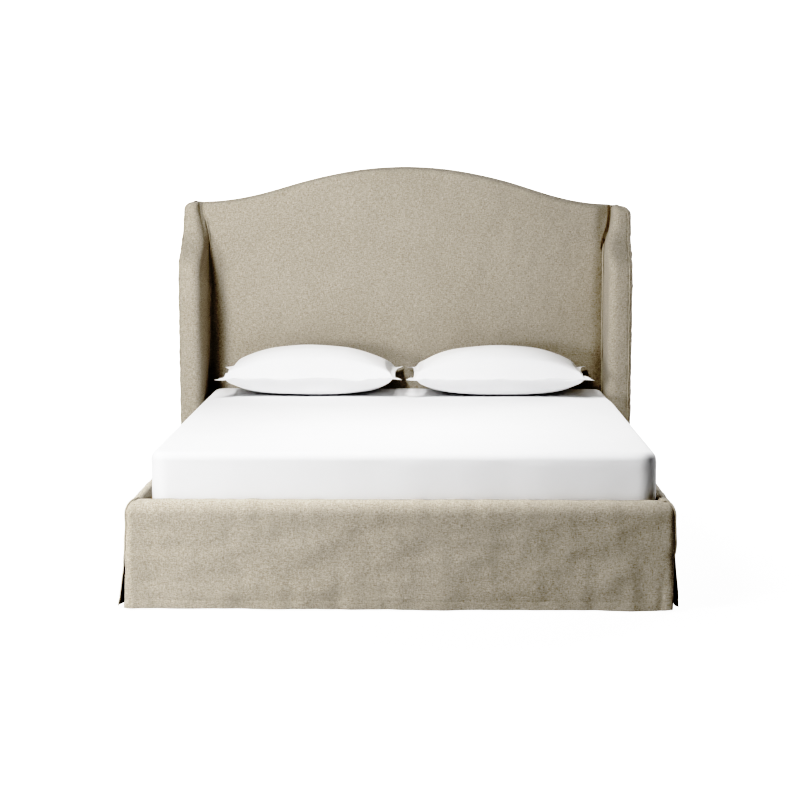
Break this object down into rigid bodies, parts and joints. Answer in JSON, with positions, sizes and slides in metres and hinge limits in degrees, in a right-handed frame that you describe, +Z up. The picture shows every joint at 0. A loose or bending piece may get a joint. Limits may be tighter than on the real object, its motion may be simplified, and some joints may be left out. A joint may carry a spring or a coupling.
{
  "type": "upholstered headboard bed",
  "caption": "Slipcovered wing bed with a camelback padded headboard, padded rails and a skirt to the floor, with its mattress and pillows.",
  "frame": {"origin": "on the floor, at the middle of the bed's outline", "axes": "+Z up, +Y towards the head, +X to the right seen from the foot"},
  "size_m": [2.166, 2.205, 1.666],
  "materials": {
    "linen_cover": "matte",
    "padding": "matte",
    "pine": "satin",
    "plywood": "matte",
    "zinc_steel": "satin",
    "glide_plastic": "matte",
    "ticking": "matte",
    "white_cotton": "matte"
  },
  "bodies": {
    "bed_frame": {"beam_hanger_foot": "zinc_steel", "beam_hanger_head": "zinc_steel", "centre_beam": "pine", "centre_leg_front": "pine", "centre_leg_rear": "pine", "corner_pleat_left": "linen_cover", "corner_pleat_right": "linen_cover", "foot_cover": "linen_cover", "foot_leg_left": "pine", "foot_leg_right": "pine", "foot_rail": "pine", "glide_foot_left": "glide_plastic", "glide_foot_right": "glide_plastic", "glide_head_left": "glide_plastic", "glide_head_right": "glide_plastic", "headboard_back_board": "plywood", "headboard_bottom_rail": "pine", "headboard_front_board": "plywood", "headboard_front_foam": "padding", "headboard_mid_rail": "pine", "headboard_post_left": "pine", "headboard_post_right": "pine", "headboard_slipcover": "linen_cover", "headboard_stile": "pine", "headboard_top_foam": "padding", "headboard_top_rail": "pine", "rail_bracket_left": "zinc_steel", "rail_bracket_right": "zinc_steel", "rail_foam_foot": "padding", "rail_foam_left": "padding", "rail_foam_right": "padding", "side_cover_left": "linen_cover", "side_cover_right": "linen_cover", "side_rail_left": "pine", "side_rail_right": "pine", "slat_01": "pine", "slat_02": "pine", "slat_03": "pine", "slat_04": "pine", "slat_05": "pine", "slat_06": "pine", "slat_07": "pine", "slat_08": "pine", "slat_09": "pine", "slat_10": "pine", "slat_11": "pine", "slat_ledge_left": "pine", "slat_ledge_right": "pine", "wing_foam_left": "padding", "wing_foam_right": "padding", "wing_frame_left": "plywood", "wing_frame_right": "plywood"},
    "mattress": {"mattress": "ticking", "fitted_sheet": "white_cotton"},
    "pillow_left": {"pillow_insert_left": "ticking", "pillowcase_left": "white_cotton"},
    "pillow_right": {"pillow_insert_right": "ticking", "pillowcase_right": "white_cotton"},
    "levelling_foot_front": {"levelling_foot_front": "zinc_steel"},
    "levelling_foot_rear": {"levelling_foot_rear": "zinc_steel"}
  },
  "joints": [
    {"name": "mattress_lift", "type": "slide", "parent": "bed_frame", "child": "mattress", "axis": [0, 0, 1], "range_m": [0, 0.32]},
    {"name": "pillow_left_lift", "type": "slide", "parent": "mattress", "child": "pillow_left", "axis": [0, 0, 1], "range_m": [0, 0.3]},
    {"name": "pillow_right_lift", "type": "slide", "parent": "mattress", "child": "pillow_right", "axis": [0, 0, 1], "range_m": [0, 0.3]},
    {"name": "levelling_foot_front_screw", "type": "slide", "parent": "bed_frame", "child": "levelling_foot_front", "axis": [0, 0, 1], "range_m": [0, 0.01]},
    {"name": "levelling_foot_rear_screw", "type": "slide", "parent": "bed_frame", "child": "levelling_foot_rear", "axis": [0, 0, 1], "range_m": [0, 0.01]}
  ]
}
